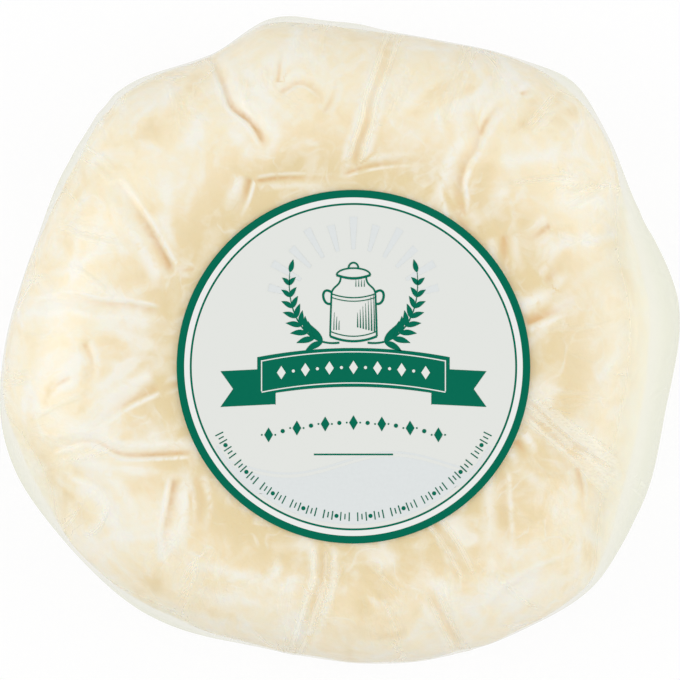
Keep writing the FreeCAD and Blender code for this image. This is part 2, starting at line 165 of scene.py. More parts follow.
# White bloom smeared over the rind, and bare yellow rind where bloom is below zero:
# (azimuth, reach, heading, half length, half width, bloom). The heading is the way
# that a smear runs, in degrees from +X.
SMEARS = [
    (98, 42, 10, 5, 3, 1.2), (104, 35, 65, 3, 2, 1.0), (111, 39, 120, 7, 1.5, 0.9),
    (124, 44, 45, 4, 2, 0.8), (122, 35, 40, 3, 1, 1.1), (131, 30, 70, 4, 3, 0.4),
    (147, 43, 60, 2, 1, 0.9), (162, 39, 80, 2, 0.8, 0.9), (172, 41, 5, 6, 1.5, 0.9),
    (174, 30, 0, 5, 2, 0.8), (70, 36, 70, 5, 2.5, 0.25), (66, 32, 40, 3, 2, 0.35),
    (70, 48, 0, 3, 0.8, 1.0), (56, 41, 50, 3, 1.2, 0.5), (42, 37, 0, 5, 1, 1.1),
    (40, 31, 60, 2.5, 1, 0.9), (29, 41, 8, 5, 1.1, 1.3), (34, 45, 330, 4, 0.8, 0.8),
    (22, 40, 100, 2.5, 1.5, 0.8), (9, 33, 30, 4, 0.7, 1.0), (188, 43, 60, 4, 1.5, 0.9),
    (185, 36, 50, 3, 1, 1.1), (195, 30, 42, 6, 0.9, 1.4), (186, 28, 55, 5, 1.2, 1.1),
    (208, 27, 20, 3, 1, 0.8), (211, 34, 355, 8, 0.6, 1.2), (216, 39, 300, 7, 1.5, 1.0),
    (222, 34, 285, 6, 1.6, 0.7), (232, 37, 60, 3, 1, 1.6), (248, 36, 345, 7, 1, 1.1),
    (252, 40, 350, 7, 1, 0.9), (262, 38, 80, 7, 1.2, 0.6), (348, 32, 20, 2.5, 2, 1.5),
    (340, 41, 315, 6, 2.5, 0.9), (324, 46, 310, 3, 1, 0.9), (356, 41, 50, 3, 0.7, 1.0),
    (307, 32, 320, 4, 1, 0.9), (307, 42, 25, 5, 2, 1.5), (296, 37, 315, 3, 1, 1.0),
    (286, 31, 10, 4, 0.8, 0.7), (130, 40, 50, 3, 2, -1.0), (134, 34, 70, 4, 1.2, -0.5),
    (138, 26, 60, 5, 2.5, -0.8), (102, 26, 10, 6, 2.5, -1.0), (116, 45, 80, 4, 1, -0.9),
    (93, 48, 105, 3, 1, -1.0), (66, 39, 30, 3, 2, -0.9), (45, 48, 320, 4, 2, -1.0),
    (46, 31, 75, 3.5, 1.2, -1.1), (48, 39, 25, 3, 1, -0.8), (24, 31, 120, 6, 2.5, -1.1),
    (10, 31, 60, 4, 2, -0.8), (73, 26, 350, 5, 1.5, -1.0), (190, 40, 70, 2.5, 0.8, -1.2),
    (184, 34, 95, 4, 0.7, -1.1), (197, 24, 60, 3, 2, -0.8), (210, 44, 310, 8, 2, -1.0),
    (234, 44, 320, 3, 2, -1.2), (246, 29, 330, 6, 2.5, -0.8), (249, 44, 345, 5, 1.2, -0.7),
    (273, 37, 85, 6, 1.5, -0.6), (354, 36, 70, 5, 2.5, -1.0), (321, 37, 20, 4, 2, -0.9),
    (322, 48, 310, 3, 2, -1.0), (279, 37, 80, 2, 1.5, -1.2), (331, 36, 340, 3, 0.7, -1.2),
    (284, 43, 20, 3, 0.8, -0.9),
]
STREWN_FROM = 16.0          # small smears are strewn from this reach outwards
DIMPLE_SHADE_FROM, DIMPLE_SHADE_TO = 24.0, 40.0     # the dimple's painted shade, a deeper yellow, fades out this far from the label's centre

# Where the film is stretched away from the cheese: (azimuth, stand-off, spread).
FILM_TENTS = [
    (6, 4.2, 18.0), (47, 1.1, 5.5), (85, 0.6, 5.0), (96, 0.7, 6.0), (128, 0.6, 8.0),
    (146, 0.9, 10.0), (203, 1.8, 12.0), (238, 1.15, 12.5), (337, 3.1, 15.0),
]
# Ridges where the film doubles over itself: (places, height, how far apart its two
# crests are, milkiness). The milkiness whitens the crests: partly the doubled film,
# partly a painted highlight.
FILM_RIDGES = [
    (((81, 25), (80, 28.5), (79, 32.5), (79, 36), (78, 41.5), (77, 56)), 0.30, 1.7, 0.6),
    (((346, 29), (342, 33.5), (339, 37.5), (337, 44), (335, 54)), 0.35, 1.5, 0.8),
    (((346, 31), (342, 35.5), (339, 41), (337, 48)), 0.25, 1.1, 0.7),
    (((342, 30), (339, 34), (336, 39), (333, 46)), 0.30, 1.3, 0.8),
    (((340, 33), (335, 39.5), (331, 47.5), (329, 53)), 0.25, 1.0, 0.6),
    (((269, 28), (269, 34), (267, 39), (265, 47), (263, 58)), 0.30, 1.8, 0.8),
    (((62, 34), (63, 42), (64, 54)), 0.20, 1.2, 0.4),
    (((294, 36), (294, 44), (295, 60)), 0.25, 1.4, 0.5),
    (((302, 27), (303, 32), (302, 38)), 0.20, 1.6, 0.6),
    (((141, 39), (141, 48), (142, 60)), 0.25, 1.6, 0.4),
    (((186, 42), (186, 50), (186, 60)), 0.25, 1.4, 0.4),
    (((25, 45.5), (17, 44.5), (5, 43), (353, 43)), 0.20, 1.0, 0.5),
]
LEAST_FILM_GAP = 0.12       # the film is kept this far off the rind
FILM_BLEND = 0.1            # and how softly it is lifted off there
CLEARANCE_AT_BASE = 0.35    # this share of its clearance is left at the base's edge
TENT_START = 0.45           # it stands away from this share of the widest line's reach
FLUTE_START = 0.38          # pleats start this share of the way from there to the base
SEAT_DROP = 0.02            # under the label it is level, this far below the label's seat
SEAT_FALL = 0.09            # and it curves down outside: mm for a mm squared
TURNED_ROWS, SEAL_ROWS, BASE_ROWS = 20, 6, 8    # rows of the pleats, seal and cheese's base


# ---- Numbers ---------------------------------------------------------------------


def linear(hex_colour):
    """An sRGB hex colour as linear red, green, blue and an alpha of 1."""
    parts = [int(hex_colour[i : i + 2], 16) / 255 for i in (1, 3, 5)]
    parts = [p / 12.92 if p <= 0.04045 else ((p + 0.055) / 1.055) ** 2.4 for p in parts]
    return (*parts, 1.0)


def eased(share):
    """A share from 0 to 1 that starts and ends level."""
    return share * share * (3.0 - 2.0 * share)


def ramp(value, low, high):
    """0 below low, 1 above high, and a smooth rise between them."""
    return eased(np.clip((value - low) / (high - low), 0.0, 1.0))


def bell(value):
    """1 at 0, falling smoothly to 0 on both sides."""
    return np.exp(-value * value)


def turn_between(azimuth, other):
    """The smaller angle from other to azimuth, in degrees, from -180 to 180."""
    return (azimuth - other + 180.0) % 360.0 - 180.0


def cubic_span(start, end, leave, arrive, share):
    """The cubic from start to end whose slopes there are leave and arrive."""
    level = start + (end - start) * eased(share)
    return level + leave * share * (1.0 - share) ** 2 - arrive * share * share * (1.0 - share)


def through_anchors(anchors, azimuth):
    """A smooth closed curve through (azimuth, value) anchors: each span is a cubic whose
    slope at an anchor is that of its two neighbours."""
    places, values = np.array(anchors, float).T
    azimuth = np.asarray(azimuth, float) % 360.0
    after = np.searchsorted(places, azimuth, side="right")
    spots = [(after + step) % len(anchors) for step in (-2, -1, 0, 1)]
    angles = [turn_between(places[s], azimuth) for s in spots]
    heights = [values[s] for s in spots]
    span = angles[2] - angles[1]
    leave = (heights[2] - heights[0]) / (angles[2] - angles[0]) * span
    arrive = (heights[3] - heights[1]) / (angles[3] - angles[1]) * span
    return cubic_span(heights[1], heights[2], leave, arrive, -angles[1] / span)


class Profile:
    """The cheese's mean upright section from the top centre to the base's edge: a dome
    whose height falls off as a superellipse, then a quarter ellipse under the widest
    line. Read by reach, the distance along it."""

    STEPS = 600

    def __init__(self, shape):
        self.belt_height = shape.belt_height / MM
        self.mean = float(np.mean(through_anchors(CHEESE_OUTLINE, np.arange(360.0))))
        rise = shape.height / MM - self.belt_height
        turn = np.linspace(0.0, math.pi / 2, self.STEPS + 1)
        out = np.sin(turn)
        dome = self.belt_height + rise * (1.0 - out**shape.flatness) ** (1.0 / shape.shoulder)
        under = 1.0 - shape.base_inset / MM / self.mean * (1.0 - np.cos(turn[1:]))
        self.share = np.concatenate([out, under])
        self.level = np.concatenate([dome, self.belt_height * (1.0 - np.sin(turn[1:]))])
        across = np.diff(self.share) * self.mean
        up = np.diff(self.level)
        length = np.hypot(across, up)
        self.reach = np.concatenate([[0.0], np.cumsum(length)])
        middle = (self.reach[1:] + self.reach[:-1]) / 2
        self.tilt = (middle, -up / length, across / length)
        self.belt = self.reach[self.STEPS]
        self.full = self.reach[-1]
        self.fade_from = self.full - shape.base_inset / MM

    def read(self, reach):
        """Radius share, height, and the outward tilt across and up, at each reach."""
        share = np.interp(reach, self.reach, self.share)
        level = np.interp(reach, self.reach, self.level)
        middle, across, up = self.tilt
        return share, level, np.interp(reach, middle, across), np.interp(reach, middle, up)


def softly_above(first, second, blend):
    """The greater of two heights, with the step between them rounded off: half of their
    sum plus the hypotenuse of their difference and the blend, less the blend. It ends
    up to half the blend below the greater."""
    return (first + second + np.hypot(first - second, blend) - blend) / 2


def from_label_centre(x, y):
    """The distance across from the label's centre."""
    return np.hypot(x - LABEL_SHIFT[0], y - LABEL_SHIFT[1])


def dome_point(shape, profile, azimuth, reach, out):
    """Points of the smooth dome, moved out along the profile's normal. The outline's
    bulges fade towards the top centre, and below the widest line towards the base; the
    top is sunk round the label's centre."""
    share, level, across, up = profile.read(reach)
    bulge = through_anchors(CHEESE_OUTLINE, azimuth) - profile.mean
    low = np.clip(level / profile.belt_height, 0.0, 1.0)
    kept = shape.base_lobes + (1.0 - shape.base_lobes) * ramp(low, 0.0, 1.0)
    radius = share * (profile.mean + bulge * kept * share) + out * across
    turn = np.radians(azimuth)
    x, y = radius * np.cos(turn), radius * np.sin(turn)
    rise = ramp(from_label_centre(x, y), shape.dimple_floor / MM, shape.dimple_rim / MM)
    sunk = np.where(reach < profile.belt, shape.dimple_depth / MM * (1.0 - rise), 0.0)
    return x, y, CHEESE_FLOOR + level - sunk + out * up


def unrolled(azimuth, reach):
    """The flat map on which lines are drawn: reach and azimuth as polar coordinates."""
    turn = np.radians(azimuth)
    return reach * np.cos(turn), reach * np.sin(turn)


def smooth_line(places, steps=7):
    """Points on the flat map along a smooth line through the places: each span is a
    cubic whose slope at a place is that of its two neighbours."""
    at = np.array([unrolled(*place) for place in places])
    ends = np.concatenate([[2 * at[0] - at[1]], at, [2 * at[-1] - at[-2]]])
    share = np.linspace(0.0, 1.0, steps + 1)[:-1, None]
    line = [
        cubic_span(start, end, (end - before) / 2, (after - start) / 2, share)
        for before, start, end, after in zip(ends, ends[1:], ends[2:], ends[3:])
    ]
    return np.concatenate([*line, at[-1:]])


def beside_line(places, mx, my):
    """For each spot of the flat map its distance to a line, positive on the line's left,
    and how far along the line the nearest point is, from 0 to 1."""
    line = smooth_line(places)
    runs = np.diff(line, axis=0)
    lengths = np.hypot(runs[:, 0], runs[:, 1])
    before = np.concatenate([[0.0], np.cumsum(lengths)])
    nearest, along = np.full(mx.shape, np.inf), np.zeros(mx.shape)
    for start, run, span, passed in zip(line, runs, lengths, before):
        dx, dy = mx - start[0], my - start[1]
        share = np.clip((dx * run[0] + dy * run[1]) / span**2, 0.0, 1.0)
        gap = np.hypot(dx - run[0] * share, dy - run[1] * share)
        gap = np.copysign(gap, dy * run[0] - dx * run[1])
        closer = np.abs(gap) < np.abs(nearest)
        along = np.where(closer, (passed + share * span) / before[-1], along)
        nearest = np.where(closer, gap, nearest)
    return nearest, along


def faded_ends(along, start, end):
    """1 along a line, rising from 0 over its first share and falling to 0 over its last."""
    return ramp(along, 0.0, start) * ramp(1.0 - along, 0.0, end)


def fold_relief(mx, my):
    """How far the folds sink and lift the rind at each spot of the flat map. A fold is a
    narrow valley between two lips, in a broader hollow. It starts abruptly and fades
    away outwards. Also how the nearest fold is coloured there: how many half widths
    beside its line the spot is, and how strong its tan and its white lips are. The lips'
    white is partly bloom and partly a painted highlight of the film over them. Both
    fade where another fold is as near."""
    sunk, lifted, tan, lips = np.zeros((4, *mx.shape))
    far = 6.0       # half widths, where no fold is near
    beside, first, second = np.full((3, *mx.shape), far)
    for places, depth, half, stain, side in FOLDS:
        gap, along = beside_line(places, mx, my)
        wide = half * np.where(gap > 0, 1.0 - STEEP * side, 1.0 + STEEP * side)
        offset = gap / np.maximum(wide, NARROWEST)
        gap = np.abs(offset)
        kept = faded_ends(along, 0.1, 0.12)
        darkest = kept * (1.0 - 0.85 * ramp(along, 0.15, 0.8))
        kept *= 1.0 - 0.7 * ramp(along, 0.35, 1.0)
        valley = VALLEY_SHARE * bell(gap) + FOLD_BOWL_SHARE * bell(gap / FOLD_BOWL_SPREAD)
        lip = LIP_SHARE * bell((gap - LIP_DISTANCE) / LIP_SPREAD)
        sunk = np.maximum(sunk, depth * kept * valley)
        lifted = np.maximum(lifted, depth * kept * lip)
        rank = gap + 2.0 * (1.0 - kept)
        closer = rank < first
        second = np.where(closer, first, np.minimum(second, rank))
        first = np.where(closer, rank, first)
        beside = np.where(closer, offset, beside)
        tan = np.where(closer, stain * darkest, tan)
        # Lip white: partly bloom, partly a painted highlight of the film over the lip.
        lips = np.where(closer, min(1.3 * depth, 1.0) * kept, lips)
    alone, away = second - first, np.abs(beside)
    lips *= (1.0 - ramp(away, 2.4, 3.4)) * ramp(alone, 0.0, 0.8)
    tan *= 1.0 - ramp(away, 1.5, 2.5)
    tan *= np.maximum(ramp(alone, 0.0, 0.5), 1.0 - ramp(away, 0.2, 0.6))
    return lifted - sunk, beside, tan, lips


def lumps(mx, my, seed, size, count=24):
    """A gentle unevenness, mostly from -1 to 1: the sum of sine waves of about that size
    in millimetres, each in its own direction, over the root of twice their number."""
    rng = np.random.default_rng(seed)
    total = np.zeros(mx.shape)
    for _ in range(count):
        heading, phase = rng.uniform(0.0, 2.0 * math.pi, 2)
        pace = 2.0 * math.pi / (size * rng.uniform(0.7, 1.6))
        total += np.sin((mx * math.cos(heading) + my * math.sin(heading)) * pace + phase)
    return total / math.sqrt(2.0 * count)


def smear(mx, my, azimuth, reach, heading, length, width, bend=0.0):
    """One smear: a long bell about its place, bent sideways by a parabola."""
    x, y = unrolled(azimuth, reach)
    turn = math.radians(heading)
    along = (mx - x) * math.cos(turn) + (my - y) * math.sin(turn)
    aside = (my - y) * math.cos(turn) - (mx - x) * math.sin(turn) + bend * along * along
    return bell(along / length) * bell(aside / width)


def strewn_smears(mx, my, seed, count, highest):
    """Small smears strewn over the rind, mostly outwards, with their heights added up."""
    rng = np.random.default_rng(seed)
    total = np.zeros(mx.shape)
    for _ in range(count):
        reach = math.sqrt(rng.uniform(STREWN_FROM**2, highest**2))
        azimuth = rng.uniform(0.0, 360.0)
        heading = azimuth + rng.normal(0.0, 40.0)
        length, width = rng.uniform(1.5, 5.0), rng.uniform(0.45, 1.1)
        bend, strength = rng.normal(0.0, 0.03), rng.uniform(0.35, 1.0)
        total += strength * smear(mx, my, azimuth, reach, heading, length, width, bend)
    return total


# ---- Meshes ----------------------------------------------------------------------


def placed(name, data):
    """A new object in the scene, with that mesh, lamp or camera."""
    item = bpy.data.objects.new(name, data)
    bpy.context.scene.collection.objects.link(item)
    return item


def mesh_piece(name, points, corners, sizes, material, slot):
    """A mesh object from points in millimetres, face corners one after another, and each
    face's number of corners. It rides on the one body."""
    mesh = bpy.data.meshes.new(name)
    mesh.vertices.add(len(points))
    mesh.vertices.foreach_set("co", (points * MM).astype(np.float32).ravel())
    mesh.loops.add(len(corners))
    mesh.loops.foreach_set("vertex_index", corners.astype(np.int32))
    mesh.polygons.add(len(sizes))
    starts = np.concatenate([[0], np.cumsum(sizes)[:-1]])
    mesh.polygons.foreach_set("loop_start", starts.astype(np.int32))
    mesh.polygons.foreach_set("use_smooth", np.ones(len(sizes), bool))
    mesh.update(calc_edges=True)
    mesh.validate()
    mesh.materials.append(material)
    piece = placed(name, mesh)
    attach(piece, "root")
    return piece


def on_points(grid):
    """Values on a closed surface's grid, in the order of its points: the first and last
    rows are each one point."""
    return np.concatenate([grid[0, :1], grid[1:-1].reshape(-1, *grid.shape[2:]), grid[-1, :1]])


def closed_round(x, y, z):
    """Points and faces of a surface closed round the axis, from rows of x, y, z. Its
    first and last rows are each drawn together to one point."""
    rows, columns = x.shape
    points = on_points(np.stack([x + AXIS_X, y + AXIS_Y, z], axis=2))
    ring = 1 + np.arange((rows - 2) * columns).reshape(rows - 2, columns)
    beside = np.roll(ring, -1, axis=1)
    quads = np.stack([ring[:-1], ring[1:], beside[1:], beside[:-1]], axis=2).reshape(-1)
    top = np.stack([np.zeros(columns, int), ring[0], beside[0]], axis=1).ravel()
    last = np.full(columns, len(points) - 1)
    bottom = np.stack([ring[-1], last, beside[-1]], axis=1).ravel()
    sizes = np.concatenate([np.full(len(quads) // 4, 4), np.full(2 * columns, 3)])
    return points, np.concatenate([quads, top, bottom]), sizes


def store(piece, more_rows, **grids):
    """Keeps a number for each point of a closed surface, for its material to read. The
    rows added at a grid's end are given, or are copies of its last row."""
    for name, grid in grids.items():
        if np.ndim(more_rows):
            grid = np.concatenate([grid, more_rows])
        else:
            grid = np.concatenate([grid, np.repeat(grid[-1:], more_rows, axis=0)])
        attribute = piece.data.attributes.new(name, "FLOAT", "POINT")
        attribute.data.foreach_set("value", on_points(grid).astype(np.float32))


def surface_grid(profile, around, down):
    """Azimuth and reach of each point of a surface: rows lie sparse where the label
    hides them, fine over the top and half as fine down the side."""
    hidden, shoulder, over_top = 19.0, 0.88 * profile.belt, 0.72
    sparse = np.linspace(0.0, hidden, 8)[:-1]
    reaches = (hidden, shoulder, profile.full)
    fine = np.interp(np.linspace(0.0, 1.0, down), (0.0, over_top, 1.0), reaches)
    return np.meshgrid(np.arange(around) * 360.0 / around, np.concatenate([sparse, fine]))


def rind_out(shape, profile, mx, my, relief, kept):
    """How far the rind lies out from the smooth dome: it swells towards its film, and
    the folds and gentle lumps are on that."""
    edge = np.clip(profile.full - np.hypot(mx, my), 0.0, 1.0)
    swell = shape.swell / MM * (SWELL_AT_BASE + (1.0 - SWELL_AT_BASE) * kept) * edge
    even = 0.6 * shape.unevenness / MM * lumps(mx, my, seed=3, size=9.0)
    return swell + (relief + np.minimum(even, HIGHEST_LUMP)) * kept


def with_more(rows, more):
    """The rows of a surface's x, y and z, with more rows added after them."""
    return [np.concatenate(pair) for pair in zip(rows, more)]


def with_base(rows, level):
    """The rows of a surface with a level base added, drawn in to the axis."""
    shares = np.linspace(1.0, 0.0, BASE_ROWS + 1)[1:, None]
    x, y = rows[0][-1] * shares, rows[1][-1] * shares
    return with_more(rows, (x, y, np.full(x.shape, level)))


# ---- Materials -------------------------------------------------------------------


def add(tree, kind, inputs=(), **settings):
    """Adds a shader node, sets its properties, and fills its inputs: by name from a
    dictionary, or by order from a row. A value may be a socket, or a node, which stands
    for its first live output. A Map Range's row is its value, the range it is read from
    and the range it is turned into."""
    node = tree.nodes.new("ShaderNode" + kind)
    for name, value in settings.items():
        setattr(node, name, value)
    for key, value in inputs.items() if isinstance(inputs, dict) else enumerate(inputs):
        if isinstance(value, bpy.types.Node):
            value = next(output for output in value.outputs if output.enabled)
        if isinstance(value, bpy.types.NodeSocket):
            tree.links.new(value, node.inputs[key])
        else:
            node.inputs[key].default_value = value
    return node


def new_material(name):
    """An empty node material, and the function that adds a node to it."""
    material = bpy.data.materials.new(name)
    material.use_nodes = True
    material.node_tree.nodes.clear()
    return material, partial(add, material.node_tree)


def moist_rind(colours):
    """Soft-ripened rind, washed and bloomed: damp and matte, cream yellow under white smears,
    tan on the floor of a fold and white along its lips, partly bloom and partly a painted
    highlight of the film. Towards the label it is painted deeper yellow with thinner bloom:
    painted shade of the dimple."""
    material, node = new_material("soft_ripened_rind")
    place = node("TexCoord").outputs["Object"]
    dimple_shade_share, bloom, lips, tan, beside = (
        node("Attribute", attribute_name=name).outputs["Fac"]
        for name in ("by_label", "bloom", "lips", "tan", "beside_fold")
    )
    patches, wisps, grain, clouds, wander = (
        node("TexNoise", {"Vector": place, "Scale": 1 / (size * MM), **more})
        for size, more in (
            (8.0, {"Detail": 4.0, "Roughness": 0.55, "Distortion": 1.6}),
            (2.0, {"Detail": 3.0, "Roughness": 0.5, "Distortion": 1.2}),
            (0.6, {"Detail": 2.0}),
            (14.0, {"Detail": 3.0, "Distortion": 1.0}),
            (5.0, {"Detail": 1.5, "Distortion": 1.1}),
        )
    )

    # Bloom lies in patches about 8 mm wide with wispy edges, and in strokes the way the
    # cloth was pulled off. Where it is rubbed away the rind is a deeper yellow, clouded
    # every 14 mm. Towards the label, down in the dimple, the rind is painted a deeper
    # yellow and the bloom thinner: painted shade of the dimple.
    strewn = node("Math", (patches, 0.6), operation="MULTIPLY")
    smeared = node("Math", (bloom, 0.22, strewn), operation="MULTIPLY_ADD")
    spread = node("Math", (wisps, 0.22, smeared), operation="MULTIPLY_ADD")
    cover = node("MapRange", (spread, 0.37, 0.66))
    rubbed = node("MapRange", (spread, 0.38, 0.08, 0.0, 0.6))
    deeper = node("Math", (clouds, 0.5, rubbed), operation="MULTIPLY_ADD")
    deeper = node("MapRange", (deeper, 0.25, 1.0))
    pale, yellow, white = colours.rind_pale, colours.rind_yellow, colours.bloom
    # Painted shade of the dimple: deeper yellow and thinner bloom towards the label's centre.
    ground = node("Mix", {"Factor": dimple_shade_share, "A": pale, "B": yellow}, data_type="RGBA")
    ground = node("Mix", {"Factor": deeper, "A": ground, "B": yellow}, data_type="RGBA")
    thinner = node("Math", (dimple_shade_share, -0.28, 1.0), operation="MULTIPLY_ADD")
    shown = node("Math", (cover, thinner), operation="MULTIPLY")
    bloomed = node("Mix", {"Factor": shown, "A": ground, "B": white}, data_type="RGBA")

    # Fine crinkles wander over the rind about 5 mm apart, in places: thin raised lines
    # with white on them, where a noise crosses its middle value.
    crinkles = node("Math", (wander, 0.5), operation="SUBTRACT")
    crinkles = node("Math", (crinkles,), operation="ABSOLUTE")
    crinkles = node("MapRange", (crinkles, 0.075, 0.0), interpolation_type="SMOOTHSTEP")
    in_places = node("MapRange", (patches, 0.42, 0.58, 0.0, 0.4))
    crinkles = node("Math", (crinkles, in_places), operation="MULTIPLY")

    # A fold's lips are white here and there, partly bloom and partly a painted highlight
    # of the film over them; its floor is a thin tan line.
    away = node("Math", (beside,), operation="ABSOLUTE")
    off_lip = node("Math", (away, LIP_DISTANCE), operation="SUBTRACT")
    off_lip = node("Math", (off_lip,), operation="ABSOLUTE")
    on_lip = node("MapRange", (off_lip, 1.0, 0.0), interpolation_type="SMOOTHSTEP")
    on_line = node("MapRange", (away, 0.7, 0.0), interpolation_type="SMOOTHSTEP")
    lip_white_patches = node("MapRange", (wisps, 0.2, 0.5))
    whitened = node("Math", (lips, lip_white_patches), operation="MULTIPLY")
    whitened = node("Math", (whitened, on_lip), operation="MULTIPLY")
    whitened = node("Math", (whitened, crinkles), operation="MAXIMUM")
    lipped = node("Mix", {"Factor": whitened, "A": bloomed, "B": white}, data_type="RGBA")
    broken = node("MapRange", (wisps, 0.35, 0.6, 0.5))
    stained = node("Math", (tan, broken), operation="MULTIPLY")
    stained = node("Math", (stained, on_line), operation="MULTIPLY")
    tanned = {"Factor": stained, "A": lipped, "B": colours.fold_tan}
    tanned = node("Mix", tanned, data_type="RGBA")

    # Pitted skin: pores under a millimetre, and the bloom's own thickness.
    pitted = node("Math", (wisps, 0.6, grain), operation="MULTIPLY_ADD")
    relief = node("Math", (cover, 0.5, pitted), operation="MULTIPLY_ADD")
    relief = node("Math", (crinkles, 1.5, relief), operation="MULTIPLY_ADD")
    bump = node("Bump", {"Strength": 0.35, "Distance": 0.12 * MM, "Height": relief})
    skin = {
        "Base Color": tanned,
        "Roughness": node("MapRange", (cover, 0.0, 1.0, 0.45, 0.7)),
        "IOR": 1.42,
        "Subsurface Weight": 0.5,
        "Subsurface Radius": (1.0, 0.85, 0.65),
        "Subsurface Scale": 1.0 * MM,
        "Normal": bump,
    }
    node("OutputMaterial", {"Surface": node("BsdfPrincipled", skin)})
    return material


def clear_film(colours):
    """Stretched polypropylene film 0.03 mm thick: clear, smooth and glossy, with a faint
    milkiness where it is doubled, a milky white along its creases that is partly that
    milkiness and partly a painted highlight, and a pale green cast where it hangs free
    of the cheese."""
    material, node = new_material("stretched_polypropylene_film")
    place = node("TexCoord").outputs["Object"]
    doubled, slack, crease, beside = (
        node("Attribute", attribute_name=name).outputs["Fac"]
        for name in ("doubled", "slack", "crease", "beside_crease")
    )

    # Slack film ripples about 5 mm apart.
    ripples = {"Vector": place, "Scale": 1 / (5.0 * MM), "Detail": 2.0, "Distortion": 0.8}
    ripples = node("TexNoise", ripples)
    bump = node("Bump", {"Strength": 0.3, "Distance": 0.3 * MM, "Height": ripples})

    # A crease is a thin crest, about 0.8 mm wide at half its height, painted milky white
    # along it: partly the doubled film, partly a painted highlight.
    away = node("Math", (beside,), operation="ABSOLUTE")
    crest = node("MapRange", (away, 0.75, 0.0), interpolation_type="SMOOTHSTEP")
    crest = node("Math", (crest, crease), operation="MULTIPLY")
    bump = {"Strength": 0.5, "Distance": 0.3 * MM, "Height": crest, "Normal": bump}
    bump = node("Bump", bump)
    cast = {"Factor": slack, "A": colours.film_tint, "B": colours.film_slack}
    see = node("BsdfTransparent", {"Color": node("Mix", cast, data_type="RGBA")})
    milk = node("BsdfDiffuse", {"Color": colours.film_milk_and_sheen})
    shine = node("BsdfGlossy", {"Roughness": 0.28, "Normal": bump})
    # Milkiness and painted highlight together whiten the creases.
    milk_and_painted_sheen = node("Math", (doubled, crest), operation="MAXIMUM")
    haze_and_painted_sheen = node("MapRange", (milk_and_painted_sheen, 0.0, 1.0, 0.04, 0.5))
    hazed = node("MixShader", (haze_and_painted_sheen, see, milk))

    # Only its outer face shines, as a film has no depth for light to be caught in. Its
    # fine crumpling keeps it from turning into a mirror at its edge.
    mirror = node("Fresnel", {"IOR": 1.49, "Normal": bump})
    mirror = node("Math", (mirror, 0.22), operation="MINIMUM")
    inside = node("NewGeometry").outputs["Backfacing"]
    outside = node("Math", (1.0, inside), operation="SUBTRACT")
    shown = node("Math", (mirror, outside), operation="MULTIPLY")
    node("OutputMaterial", {"Surface": node("MixShader", (shown, hazed, shine))})
    return material


def coated_paper(colours, sizes):
    """Coated label paper, offset printed: a satin pale grey field, a fine green ring, a
    white gap and a green edge band. The cut edge is bare white paper."""
    material, node = new_material("coated_label_paper")
    place = node("TexCoord").outputs["Object"]
    centred = node("Mapping", {"Vector": place, "Location": -(LABEL_LOW + LABEL_HIGH) / 2})
    level = node("VectorMath", (centred, (1.0, 1.0, 0.0)), operation="MULTIPLY")
    away = node("VectorMath", (level,), operation="LENGTH")
    radius = LABEL_RADIUS * MM
    rings = node("ValToRGB", (node("Math", (away, radius), operation="DIVIDE"),))
    ring_out = 1.0 - (sizes.edge_band + sizes.white_gap) / radius
    stops = [
        (0.0, colours.paper_field),
        (ring_out - sizes.ring_line / radius, colours.ink),
        (ring_out, colours.paper_white),
        (1.0 - sizes.edge_band / radius, colours.ink),
    ]
    scale = rings.color_ramp
    scale.interpolation = "CONSTANT"
    while len(scale.elements) < len(stops):
        scale.elements.new(1.0)
    for element, (at, shade) in zip(scale.elements, stops):
        element.position = at
        element.color = shade
    normal = node("NewGeometry").outputs["True Normal"]
    upright = node("SeparateXYZ", (normal,)).outputs["Z"]
    on_top = node("Math", (upright, 0.5), operation="GREATER_THAN")
    printed = {"Factor": on_top, "A": colours.paper_white, "B": rings}

    # Paper fibres cloud the coating about every 0.6 mm.
    fibres = node("TexNoise", {"Vector": place, "Scale": 1 / (0.6 * MM), "Detail": 2.0})
    paper = {
        "Base Color": node("Mix", printed, data_type="RGBA"),
        "Roughness": 0.55,
        "Specular IOR Level": 0.03,
        "Normal": node("Bump", {"Strength": 0.12, "Distance": 0.05 * MM, "Height": fibres}),
    }
    node("OutputMaterial", {"Surface": node("BsdfPrincipled", paper)})
    return material


def printing_ink(name, shade):
    """Offset printing ink, dried into the coating: satin, with a faint mottle every
    0.5 mm where the paper took less of it."""
    material, node = new_material(name)
    place = node("TexCoord").outputs["Object"]
    mottle = node("TexNoise", {"Vector": place, "Scale": 1 / (0.5 * MM), "Detail": 2.0})
    thinner = (*(min(1.0, part * 1.05 + 0.001) for part in shade[:3]), 1.0)
    mixed = node("Mix", {"Factor": mottle, "A": shade, "B": thinner}, data_type="RGBA")
    ink = {"Base Color": mixed, "Roughness": 0.5, "Specular IOR Level": 0.03}
    node("OutputMaterial", {"Surface": node("BsdfPrincipled", ink)})
    return material


# ---- The label's print -----------------------------------------------------------

INK_STEP, INK_STEPS = 0.0015, 16    # each printed shape lies a step over the one before


def points_at(x, y):
    """Points from a row of x and a row of y."""
    return np.stack([x, y], axis=1)


def towards(turn):
    """The step of length 1 in a direction, in radians from +X."""
    return np.array([math.cos(turn), math.sin(turn)])


